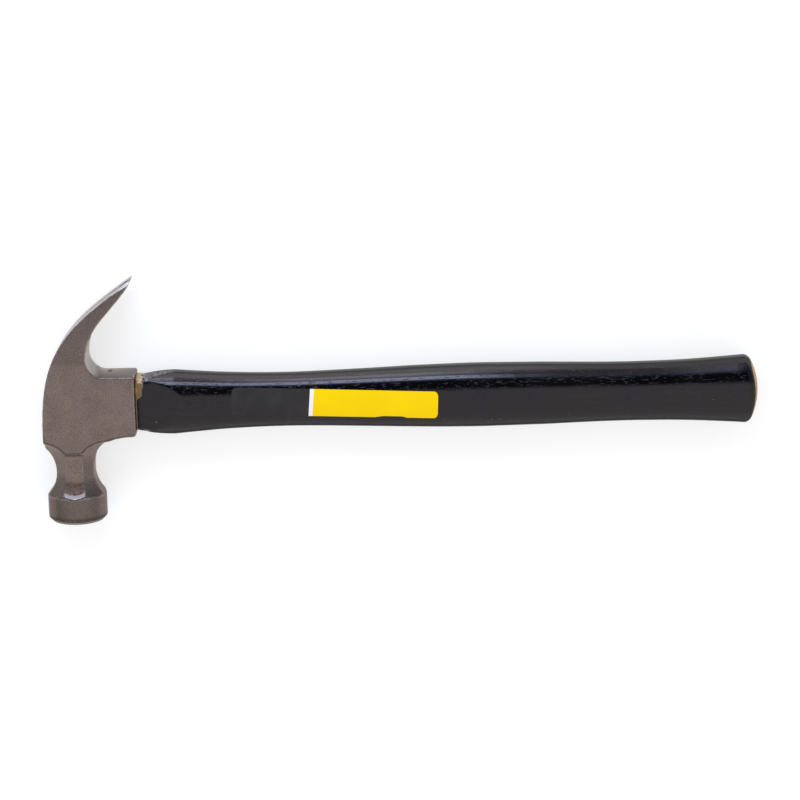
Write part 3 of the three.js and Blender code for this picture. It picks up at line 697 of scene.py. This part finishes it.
class Nodes:
    """Short ways to place nodes in a tree. A value is a number, a colour or the output of another node."""

    def __init__(self, tree):
        self.tree = tree

    def plug(self, socket, value):
        """Joins an output to the socket, or sets the socket to a number or a colour."""
        if isinstance(value, bpy.types.NodeSocket):
            self.tree.links.new(value, socket)
        else:
            socket.default_value = value

    def fill(self, node, **values):
        """Plugs values into a node's inputs by name, with _ for a space."""
        for name, value in values.items():
            self.plug(node.inputs[name.replace("_", " ")], value)

    def place(self, kind, settings=None, **values):
        """A new node with its settings and its inputs."""
        node = self.tree.nodes.new("ShaderNode" + kind)
        for name, value in (settings or {}).items():
            setattr(node, name, value)
        self.fill(node, **values)
        return node

    def calc(self, operation, *values):
        """Output of a Math node."""
        node = self.place("Math", {"operation": operation})
        for socket, value in zip(node.inputs, values):
            self.plug(socket, value)
        return node.outputs[0]

    def chain(self, operation, first, *others):
        """One Math node after another, for any number of values."""
        for other in others:
            first = self.calc(operation, first, other)
        return first

    def plus(self, *values):
        return self.chain("ADD", *values)

    def minus(self, *values):
        return self.chain("SUBTRACT", *values)

    def times(self, *values):
        return self.chain("MULTIPLY", *values)

    def most(self, *values):
        return self.chain("MAXIMUM", *values)

    def span(self, value, low, high, to_low=0.0, to_high=1.0, smooth=True):
        """A value mapped from one range to another and held inside it."""
        kind = "SMOOTHSTEP" if smooth else "LINEAR"
        node = self.place(
            "MapRange", {"interpolation_type": kind}, Value=value, From_Min=low, From_Max=high,
            To_Min=to_low, To_Max=to_high,
        )
        return node.outputs["Result"]

    def between(self, factor, a, b):
        """A number between a and b."""
        node = self.place("Mix")
        for index, value in ((0, factor), (2, a), (3, b)):
            self.plug(node.inputs[index], value)
        return node.outputs[0]

    def tint(self, factor, a, b):
        """A colour between a and b."""
        node = self.place("Mix", {"data_type": "RGBA"})
        for index, value in ((0, factor), (6, a), (7, b)):
            self.plug(node.inputs[index], (*value, 1.0) if isinstance(value, tuple) else value)
        return node.outputs[2]

    def axes(self, vector):
        """X, Y and Z of a vector."""
        return self.place("SeparateXYZ", Vector=vector).outputs

    def stretched(self, vector, scale):
        """Coordinates scaled for a pattern that runs one way."""
        return self.place("Mapping", Vector=vector, Scale=scale).outputs["Vector"]

    def noise(self, vector, scale, detail=2.0, roughness=0.5, distortion=0.0):
        node = self.place(
            "TexNoise", Vector=vector, Scale=scale, Detail=detail, Roughness=roughness,
            Distortion=distortion,
        )
        return node.outputs["Fac"]

    def mask(self, name):
        """A value that the mesh keeps for each point."""
        return self.place("Attribute", {"attribute_name": name}).outputs["Fac"]

    def use(self, group, **values):
        """Outputs of a node group."""
        node = self.place("Group", {"node_tree": group})
        self.fill(node, **values)
        return node.outputs

    def relief(self, shader, height, depth, strength=1.0):
        """Small relief under the shader."""
        bump = self.place("Bump", Strength=strength, Distance=depth, Height=height)
        self.fill(shader, Normal=bump.outputs["Normal"])


def rgb(value, level=1.0):
    """A colour property as a tuple, brighter or darker by a level."""
    return tuple(level * x for x in value)


def effect(name, inputs, outputs):
    """A new shader node group: its nodes, its input node and its output node."""
    group = bpy.data.node_groups.new(name, "ShaderNodeTree")
    for socket in inputs:
        kind = "NodeSocketVector" if socket == "Vector" else "NodeSocketFloat"
        group.interface.new_socket(socket, in_out="INPUT", socket_type=kind)
    for socket in outputs:
        group.interface.new_socket(socket, in_out="OUTPUT", socket_type="NodeSocketFloat")
    return Nodes(group), group.nodes.new("NodeGroupInput").outputs, group.nodes.new("NodeGroupOutput")


def mottle_effect():
    """Fine and broad speckle over a surface."""
    name = "surface_mottle"
    if name in bpy.data.node_groups:
        return bpy.data.node_groups[name]
    n, start, end = effect(name, ("Vector", "Grain", "Patch"), ("Fine", "Broad", "Speck", "Dust"))
    fine = n.noise(start["Vector"], start["Grain"], 3.0, 0.6)
    broad = n.noise(start["Vector"], start["Patch"], 4.0, 0.55, 0.4)
    cells = n.place("TexVoronoi", Vector=start["Vector"], Scale=start["Grain"]).outputs
    chance = n.place("SeparateColor", Color=cells["Color"]).outputs[0]
    rare = n.span(chance, 0.82, 0.86)
    n.fill(
        end, Fine=n.span(fine, 0.3, 0.7), Broad=n.span(broad, 0.3, 0.7),
        Speck=n.times(n.span(cells["Distance"], 0.2, 0.08), rare),
        Dust=n.times(n.span(cells["Distance"], 0.07, 0.04), rare),
    )
    return n.tree


def fibre_effect():
    """Growth rings and open pores of wood whose fibres run along X."""
    name = "wood_fibre"
    if name in bpy.data.node_groups:
        return bpy.data.node_groups[name]
    n, start, end = effect(name, ("Vector", "Rings"), ("Ring", "Pore", "Fibre"))
    vector = start["Vector"]
    slow = n.noise(n.stretched(vector, (9.0, 90.0, 90.0)), 1.0, 3.0)
    axes = n.axes(vector)
    off_y, off_z = n.plus(axes["Y"], PITH_Y), n.plus(axes["Z"], PITH_Z)
    distance = n.calc("SQRT", n.plus(n.times(off_y, off_y), n.times(off_z, off_z)))
    saw = n.calc("FRACT", n.plus(n.times(distance, start["Rings"]), slow))
    pore = n.noise(n.stretched(vector, (380.0, 2300.0, 2300.0)), 1.0, 2.0, 0.6)
    n.fill(
        end, Ring=n.times(n.span(saw, 0.15, 0.9), n.span(saw, 1.0, 0.93)), Pore=n.span(pore, 0.605, 0.70),
        Fibre=n.noise(n.stretched(vector, (30.0, 1100.0, 1100.0)), 1.0, 4.0, 0.6),
    )
    return n.tree


def mottle(n, where, grain, patch):
    """Speckle with a number of grains and of patches to the metre."""
    return n.use(mottle_effect(), Vector=where, Grain=grain, Patch=patch)


def material(name):
    """A new material, its nodes, its texture coordinates and its shader."""
    made = bpy.data.materials.new(name)
    made.use_nodes = True
    n = Nodes(made.node_tree)
    n.tree.nodes.clear()
    shader = n.place("BsdfPrincipled")
    n.place("OutputMaterial", Surface=shader.outputs[0])
    return made, n, n.place("TexCoord").outputs, shader


# Finishes


def forged_steel(head):
    """Speckled steel, a ground claw, rubbed edges and a turned striking face, with painted shade on the
    neck, collar and poll and painted highlights on the collar and rim.
    """
    made, n, coords, shader = material("forged_steel")
    where = coords["Object"]
    axes = n.axes(where)
    y = axes["Y"]
    dark_steel_and_shade = rgb(head.dark_steel_and_shade)
    flare, lip, dull = n.mask("flare"), n.mask("lip"), n.mask("dull")
    speckle = mottle(n, where, 2300.0, 95.0)
    shade = n.plus(n.times(speckle["Fine"], 0.72), n.times(speckle["Broad"], 0.22))
    skin = n.tint(shade, rgb(head.scale), rgb(head.steel))
    skin = n.tint(n.times(speckle["Speck"], 0.5), skin, rgb(head.speck))
    up_claw = n.span(y, EYE_Y + 12.0 * MM, EYE_Y + 48.0 * MM, 0.0, 0.3, False)
    skin = n.tint(up_claw, skin, dark_steel_and_shade)
    crust = n.span(n.noise(where, 1100.0, 3.0, 0.7), 0.36, 0.66, 0.05, 0.7)
    skin = n.tint(flare, skin, n.tint(crust, rgb(head.flare_steel), rgb(head.crust)))
    # Painted shade: the poll below its rim is painted darker
    poll = n.span(y, RIM_Y + 0.3 * MM, RIM_Y - 0.3 * MM, 0.0, 0.42)
    skin = n.tint(poll, skin, n.tint(shade, dark_steel_and_shade, rgb(head.scale)))
    skin = n.tint(lip, skin, rgb(head.lip_steel))

    # Up from the striking face, where 1 is the height of the chamfer
    above = n.calc("DIVIDE", n.minus(y, POLL_Y), head.chamfer)
    # A darker band just above the chamfer of the striking face
    dark_band_over_chamfer = n.times(n.span(above, 0.66, 0.76), n.span(above, 1.9, 1.0))
    # Painted shade in the neck's folds and flanks and on the collar, and darker in the pit and in the band
    # above the chamfer
    skin = n.tint(n.most(n.mask("fold"), n.mask("pit"), dull, dark_band_over_chamfer), skin, dark_steel_and_shade)
    circle = n.place("CombineXYZ", X=n.minus(axes["X"], POLL_AXIS_X), Y=n.minus(axes["Z"], EYE_Z))
    from_axis = n.place("VectorMath", {"operation": "LENGTH"}, Vector=circle.outputs[0]).outputs["Value"]
    rings = n.place("CombineXYZ", X=from_axis).outputs[0]
    turned = n.span(n.noise(rings, 2100.0, 4.0, 0.7), 0.4, 0.66, 0.0, 0.42)
    skin = n.tint(n.times(turned, n.span(above, 0.5, 0.36)), skin, dark_steel_and_shade)

    face = n.times(n.span(above, 0.7, 0.64), n.span(above, 0.44, 0.54, 0.3, 1.0))
    patchy = n.span(n.noise(where, 700.0, 2.0), 0.35, 0.6, 0.15, 1.0)
    rubbed = n.times(n.mask("edge"), patchy, n.minus(1.0, dull))
    # Ground claw, lighter chamfer and rubbed edges, with painted highlights on the collar's top and the rim
    # of the poll
    bright = n.most(n.times(face, 0.28), n.mask("ground"), n.times(rubbed, 0.6))
    scratch = n.noise(n.stretched(where, (75.0, 75.0, 2300.0)), 1.0, 4.0, 0.65)
    belted = n.tint(n.span(scratch, 0.34, 0.66), rgb(head.belt_mark), rgb(head.bright))
    rough = n.span(speckle["Fine"], 0.0, 1.0, 0.36, 0.47, False)
    n.fill(
        shader, Base_Color=n.tint(bright, skin, belted), Metallic=1.0,
        Roughness=n.minus(n.plus(rough, n.times(flare, 0.25)), n.times(lip, 0.2)),
        Specular_Tint=(0.6, 0.56, 0.54, 1.0), Coat_Weight=n.minus(0.3, n.times(flare, 0.3)),
        Coat_Roughness=0.2, Coat_IOR=1.4,
    )
    n.relief(shader, n.plus(speckle["Fine"], n.times(flare, crust, -7.0)), 0.012 * MM, 0.7)
    return made


def black_lacquer(handle):
    """Black lacquer over open pores, with dust, and rougher on the worked faces by the head."""
    made, n, coords, shader = material("black_lacquer")
    where = coords["Object"]
    wood = n.use(fibre_effect(), Vector=where, Rings=520.0)
    speckle = mottle(n, where, 900.0, 60.0)
    mark = n.mask("sawn")
    sawn, planed = n.most(mark, 0.0), n.most(n.times(mark, -1.0), 0.0)
    thin = n.times(wood["Ring"], n.span(speckle["Broad"], 0.2, 1.0))
    coat = n.tint(thin, rgb(handle.lacquer), rgb(handle.lacquer_thin))
    streak = n.noise(n.stretched(where, (900.0, 900.0, 180.0)), 1.0, 3.0, 0.65)
    ridges = n.tint(n.span(streak, 0.44, 0.62), rgb(handle.lacquer_groove), rgb(handle.lacquer_sawn))
    coat = n.tint(sawn, coat, ridges)
    dust = mottle(n, where, 330.0, 60.0)["Dust"]
    rough = n.span(speckle["Broad"], 0.0, 1.0, 0.10, 0.16, False)

    # The lacquer mirrors less at a slant, and more on the claw side near the head
    facing = n.place("LayerWeight").outputs["Facing"]
    upward = n.axes(coords["Normal"])["Y"]
    glossy = n.span(n.axes(where)["X"], 35.0 * MM, 85.0 * MM, 1.0, 0.0)
    glossy = n.times(n.span(upward, 0.6, 0.72), glossy)
    sheen = n.times(n.plus(n.times(glossy, 0.26), 0.38), n.span(facing, 0.32, 0.66, 1.0, 0.0))
    sheen = n.most(sheen, n.span(facing, 0.86, 0.72, 0.0, 0.035), n.times(sawn, 0.13))
    sheen = n.minus(sheen, n.span(upward, -0.5, -0.85, 0.0, 0.04))
    n.fill(
        shader, Base_Color=n.tint(dust, coat, rgb(handle.dust)), IOR=n.plus(sheen, 1.1),
        Roughness=n.plus(rough, n.times(sawn, 0.32), n.times(planed, 0.12)),
        Specular_Tint=(0.92, 0.83, 0.89, 1.0),
    )
    pores, nibs = n.times(wood["Pore"], -0.8), n.times(speckle["Speck"], 0.9)
    n.relief(shader, n.plus(pores, nibs, n.times(wood["Fibre"], sawn, 1.4)), 0.05 * MM)
    return made


def bare_wood(name, pale, dark, rings):
    """Bare wood with growth rings and open pores."""
    made, n, coords, shader = material(name)
    where = coords["Object"]
    wood = n.use(fibre_effect(), Vector=where, Rings=rings)
    speckle = mottle(n, where, 3000.0, 220.0)
    grain = n.tint(wood["Ring"], pale, dark)
    grain = n.tint(n.times(wood["Pore"], 0.65), grain, rgb(dark, 0.35))
    n.fill(
        shader, Base_Color=n.tint(n.times(speckle["Broad"], 0.35), grain, dark),
        Roughness=n.span(speckle["Fine"], 0.0, 1.0, 0.5, 0.7, False),
    )
    n.relief(shader, n.minus(n.times(wood["Ring"], 0.5), wood["Pore"]), 0.06 * MM, 0.8)
    return made


def wedge_metal(trim):
    """Mild steel with dull patches."""
    made, n, coords, shader = material("wedge_steel")
    speckle = mottle(n, coords["Object"], 2600.0, 520.0)
    n.fill(
        shader, Base_Color=n.tint(speckle["Broad"], rgb(trim.wedge_steel, 0.55), rgb(trim.wedge_steel)),
        Roughness=n.span(speckle["Fine"], 0.0, 1.0, 0.28, 0.48, False), Metallic=1.0,
    )
    n.relief(shader, speckle["Broad"], 0.12 * MM, 0.7)
    return made


def amber_glue(trim):
    """Glue that is dark over the wood, gold against the collar and pale where it is thick."""
    made, n, coords, shader = material("amber_glue")
    where = coords["Object"]
    speckle = mottle(n, where, 1500.0, 420.0)
    axes = n.axes(where)
    away = n.span(axes["X"], MOUTH_X + 0.5 * MM, MOUTH_X + 1.5 * MM)
    high = n.span(axes["Y"], EYE_Y + 8.6 * MM, EYE_Y + 10.4 * MM, 0.06, 1.0)
    upper = n.span(axes["Y"], EYE_Y + 3.0 * MM, EYE_Y + 5.0 * MM)
    pale = n.times(away, high, n.span(speckle["Broad"], 0.1, 0.6))
    gold = n.times(n.span(away, 0.7, 0.2), upper, n.span(speckle["Broad"], 0.2, 0.7))
    body = n.tint(gold, rgb(trim.glue_dark), rgb(trim.glue_gold))
    n.fill(
        shader, Base_Color=n.tint(pale, body, rgb(trim.glue_pale)),
        Roughness=n.span(speckle["Fine"], 0.0, 1.0, 0.16, 0.34, False),
        Subsurface_Weight=0.25, Subsurface_Scale=0.8 * MM,
    )
    n.relief(shader, speckle["Broad"], 0.12 * MM, 0.6)
    return made


def label_print(trim):
    """A dark panel, a pale stripe and a yellow panel along the film."""
    made, n, coords, shader = material("label_film")
    axes = n.axes(n.place("UVMap", {"uv_map": "label"}).outputs["UV"])
    along = n.minus(axes["X"], n.times(axes["Y"], STRIPE_LEAN))
    speckle = mottle(n, coords["Object"], 2200.0, 70.0)
    printed = n.tint(speckle["Broad"], rgb(trim.film_dark), rgb(trim.film_dark, 1.35))
    yellow = n.tint(speckle["Broad"], rgb(trim.film_yellow), rgb(trim.film_yellow, 0.955))
    for edge, film in ((STRIPE_START, rgb(trim.film_pale)), (STRIPE_END, yellow)):
        beyond = n.span(along, edge - STRIPE_BLUR, edge + STRIPE_BLUR, smooth=False)
        printed = n.tint(beyond, printed, film)
    n.fill(
        shader, Base_Color=printed, Roughness=n.span(speckle["Fine"], 0.0, 1.0, 0.34, 0.42, False),
        Specular_IOR_Level=0.07,
    )
    n.relief(shader, speckle["Broad"], 0.02 * MM, 0.4)
    return made


def floor_paint(stage):
    """A pale floor that keeps the shadow and is white where it is seen."""
    made, n, coords, shader = material("pale_floor")
    cloud = n.span(n.noise(coords["Object"], 3.0, 2.0), 0.3, 0.7)
    path = n.place("LightPath").outputs
    seen = n.most(path["Is Camera Ray"], path["Is Glossy Ray"], path["Is Transmission Ray"])
    n.fill(
        shader, Base_Color=n.tint(cloud, rgb(stage.floor), rgb(stage.floor, 0.985)), Roughness=0.9,
        Specular_IOR_Level=0.0, Emission_Color=(1.0, 1.0, 1.0, 1.0),
        Emission_Strength=n.times(seen, stage.floor_glow),
    )
    return made


# Operators


class HAMMER_OT_head(bpy.types.Operator):
    """Forged head with rounded edges"""

    bl_idname = "hammer.head"
    bl_label = "Forge Head"

    def execute(self, context):
        sizes = context.scene.hammer_head
        piece = new_piece("forged_head", merged_copy("head"), forged_steel(sizes))
        skin = piece.modifiers.new("even_skin", "REMESH")
        skin.mode = "VOXEL"
        skin.voxel_size = sizes.skin
        skin.use_smooth_shade = True
        worn = piece.modifiers.new("worn_edges", "SMOOTH")
        worn.factor = 0.5
        worn.iterations = sizes.rounding
        set_modifiers(piece)
        shade_smooth(piece)
        bevel = grind_prongs(piece.data, sizes.bevel)
        mark_edges(piece.data)
        pit = press_pit(piece.data, sizes.pit_depth)
        mark_ground(piece.data, bevel, pit)
        mark_neck(piece.data, sizes)
        dress(piece, "forged_steel", "head")
        return {"FINISHED"}


class HAMMER_OT_handle(bpy.types.Operator):
    """Lacquered handle with sawn faces at its shoulder and a bare domed end"""

    bl_idname = "hammer.handle"
    bl_label = "Shape Handle"

    def execute(self, context):
        sizes = context.scene.hammer_handle
        wood = bare_wood("bare_end_grain", rgb(sizes.wood), rgb(sizes.wood_ring), rings=640.0)
        piece = new_piece("lacquered_handle", handle_mesh(sizes), black_lacquer(sizes), wood)
        cutters = [kerf_cutter(node, context.scene.hammer_trim.kerf_gap) for node in WEDGES]
        for cutter in cutters:
            cut = piece.modifiers.new("kerf", "BOOLEAN")
            cut.operation = "DIFFERENCE"
            cut.solver = "MANIFOLD"
            cut.object = cutter
        set_modifiers(piece)
        for cutter in cutters:
            mesh = cutter.data
            bpy.data.objects.remove(cutter)
            bpy.data.meshes.remove(mesh)
        shade_smooth(piece, sharp_degrees=50.0)
        dress(piece, "lacquered_wood", "handle")
        return {"FINISHED"}


class HAMMER_OT_wedges(bpy.types.Operator):
    """Wooden wedge and two steel wedges in the eye"""

    bl_idname = "hammer.wedges"
    bl_label = "Drive Wedges"

    def execute(self, context):
        trim = context.scene.hammer_trim
        pale, dark = rgb(trim.wedge_wood), rgb(trim.wedge_wood, 0.62)
        finishes = {
            "wedge_wood": bare_wood("wedge_wood", pale, dark, rings=900.0),
            "wedge_steel": wedge_metal(trim),
        }
        for node, slot in WEDGES.items():
            bm = merged_copy(node)
            bmesh.ops.dissolve_limit(
                bm, angle_limit=math.radians(2.0), verts=bm.verts, edges=bm.edges,
                use_dissolve_boundaries=False,
            )
            sharp = [e for e in bm.edges if e.is_manifold and e.calc_face_angle() > math.radians(25.0)]
            bmesh.ops.bevel(
                bm, geom=sharp, offset=trim.arris, affect="EDGES", segments=3, profile=0.5, material=-1
            )
            piece = new_piece("driven_" + node, bm, finishes[slot])
            shade_smooth(piece, sharp_degrees=35.0)
            dress(piece, slot, node)
        return {"FINISHED"}


class HAMMER_OT_glue(bpy.types.Operator):
    """Bead of glue squeezed out at the mouth of the eye"""

    bl_idname = "hammer.glue"
    bl_label = "Squeeze Glue"

    def execute(self, context):
        trim = context.scene.hammer_trim
        piece = new_piece("glue_bead", glue_mesh(trim), amber_glue(trim))
        shade_smooth(piece)
        dress(piece, "amber_glue", "eye_glue")
        return {"FINISHED"}


class HAMMER_OT_label(bpy.types.Operator):
    """Printed film stuck on the side of the handle"""

    bl_idname = "hammer.label"
    bl_label = "Stick Label"

    def execute(self, context):
        trim = context.scene.hammer_trim
        piece = new_piece("label_film", label_mesh(trim, context.scene.hammer_handle), label_print(trim))
        shade_smooth(piece, sharp_degrees=40.0)
        dress(piece, "label_film", "label")
        return {"FINISHED"}


class HAMMER_OT_stage(bpy.types.Operator):
    """Pale floor, soft light and the camera"""

    bl_idname = "hammer.stage"
    bl_label = "Set Stage"

    def execute(self, context):
        stage = context.scene.hammer_stage
        bm = bmesh.new()
        bmesh.ops.create_grid(bm, x_segments=8, y_segments=8, size=4.0)
        new_piece("floor", bm, floor_paint(stage))
        self.soft_light(context, stage)
        self.strip_light(context, stage)
        self.camera(context, stage)
        context.scene.view_settings.view_transform = "Standard"
        return {"FINISHED"}

    def soft_light(self, context, stage):
        """Even light all round. Gloss sees a panel overhead, a blue wall on the claw side and dark ends."""
        world = bpy.data.worlds.new("soft_light")
        context.scene.world = world
        world.use_nodes = True
        n = Nodes(world.node_tree)
        n.tree.nodes.clear()
        axes = n.axes(n.place("TexCoord").outputs["Generated"])
        sideways, up = axes["X"], axes["Z"]
        rise = n.calc("ARCTAN2", up, axes["Y"])
        overhead = n.span(rise, math.radians(82.0), math.radians(93.0))
        wall = n.span(rise, math.radians(60.0), math.radians(43.0))
        wall = n.times(wall, n.span(sideways, -0.07, 0.085, 2.6, 0.5))
        head_end = n.between(n.span(sideways, -0.25, -0.9), 1.0, n.span(up, 0.12, 0.6, 0.25, 0.9))
        butt_end = n.between(n.span(sideways, 0.25, 0.9), 1.0, n.span(up, 0.0, 0.3, 0.15, 0.85))
        panels = n.times(n.plus(wall, overhead), n.times(head_end, butt_end))
        fill = n.span(n.calc("ABSOLUTE", sideways), 0.12, 0.5, 0.03, 0.45)
        path = n.place("LightPath").outputs
        glossy, seen = path["Is Glossy Ray"], path["Is Camera Ray"]
        soft = n.times(n.minus(1.0, glossy), stage.soft_light)
        level = n.plus(n.times(n.most(panels, fill), glossy), soft)
        strength = n.plus(n.times(n.minus(1.0, seen), level), seen)
        low_blue, high_blue = (0.86, 0.91, 1.0), (0.46, 0.62, 1.0)
        blue = n.tint(n.span(rise, math.radians(26.0), math.radians(50.0)), low_blue, high_blue)
        cool = n.tint(n.times(n.span(overhead, 1.0, 0.0), glossy), (1.0, 1.0, 1.0), blue)
        back = n.place("Background", Color=cool, Strength=strength)
        n.place("OutputWorld", Surface=back.outputs[0])

    def strip_light(self, context, stage):
        """Low strip on the claw side."""
        lamp = bpy.data.lights.new("strip_light", "AREA")
        lamp.shape = "RECTANGLE"
        lamp.size, lamp.size_y = STRIP_SIZE
        lamp.energy = stage.strip_light
        lamp.color = stage.strip_colour
        strip = bpy.data.objects.new("strip_light", lamp)
        context.scene.collection.objects.link(strip)
        away = STRIP_DISTANCE * Vector((0.0, math.cos(STRIP_RISE), math.sin(STRIP_RISE)))
        strip.location = Vector((STRIP_X, 0.0, 0.0)) + away
        strip.rotation_euler = away.to_track_quat("Z", "Y").to_euler()
        strip.visible_camera = False

    def camera(self, context, stage):
        """The photograph's viewpoint."""
        lens = bpy.data.cameras.new("camera")
        lens.lens = stage.lens
        lens.sensor_width = 36.0
        lens.clip_end = 20.0
        camera = bpy.data.objects.new("camera", lens)
        context.scene.collection.objects.link(camera)
        back = Vector((0.0, math.sin(stage.tilt), math.cos(stage.tilt)))
        level = Vector((0.0, math.cos(stage.tilt), -math.sin(stage.tilt)))
        along = Vector((1.0, 0.0, 0.0))
        right = along * math.cos(stage.roll) - level * math.sin(stage.roll)
        up = along * math.sin(stage.roll) + level * math.cos(stage.roll)
        turn = Matrix((right, up, back)).transposed().to_4x4()
        camera.matrix_world = Matrix.Translation(VIEW_MIDDLE + back * stage.distance) @ turn
        context.scene.camera = camera


class HAMMER_PT_sidebar(bpy.types.Panel):
    """Builds the hammer piece by piece"""

    bl_label = "Curved Claw Hammer"
    bl_space_type = "VIEW_3D"
    bl_region_type = "UI"
    bl_category = "Hammer"

    def draw(self, context):
        for operator in OPERATORS:
            self.layout.operator(operator.bl_idname)
        for name in GROUPS:
            group = getattr(context.scene, name)
            box = self.layout.box()
            for prop in group.bl_rna.properties:
                if prop.identifier not in ("rna_type", "name"):
                    box.prop(group, prop.identifier)


OPERATORS = (
    HAMMER_OT_stage, HAMMER_OT_head, HAMMER_OT_handle, HAMMER_OT_wedges, HAMMER_OT_glue, HAMMER_OT_label,
)
GROUPS = {
    "hammer_head": HammerHead,
    "hammer_handle": HammerHandle,
    "hammer_trim": HammerTrim,
    "hammer_stage": HammerStage,
}
CLASSES = (*GROUPS.values(), *OPERATORS, HAMMER_PT_sidebar)


def register():
    for cls in CLASSES:
        bpy.utils.register_class(cls)
    for name, group in GROUPS.items():
        setattr(bpy.types.Scene, name, PointerProperty(type=group))


def unregister():
    for name in GROUPS:
        delattr(bpy.types.Scene, name)
    for cls in reversed(CLASSES):
        bpy.utils.unregister_class(cls)


def main():
    register()
    bpy.ops.hammer.stage()
    bpy.ops.hammer.head()
    bpy.ops.hammer.handle()
    bpy.ops.hammer.wedges()
    bpy.ops.hammer.glue()
    bpy.ops.hammer.label()


if __name__ == "__main__":
    main()
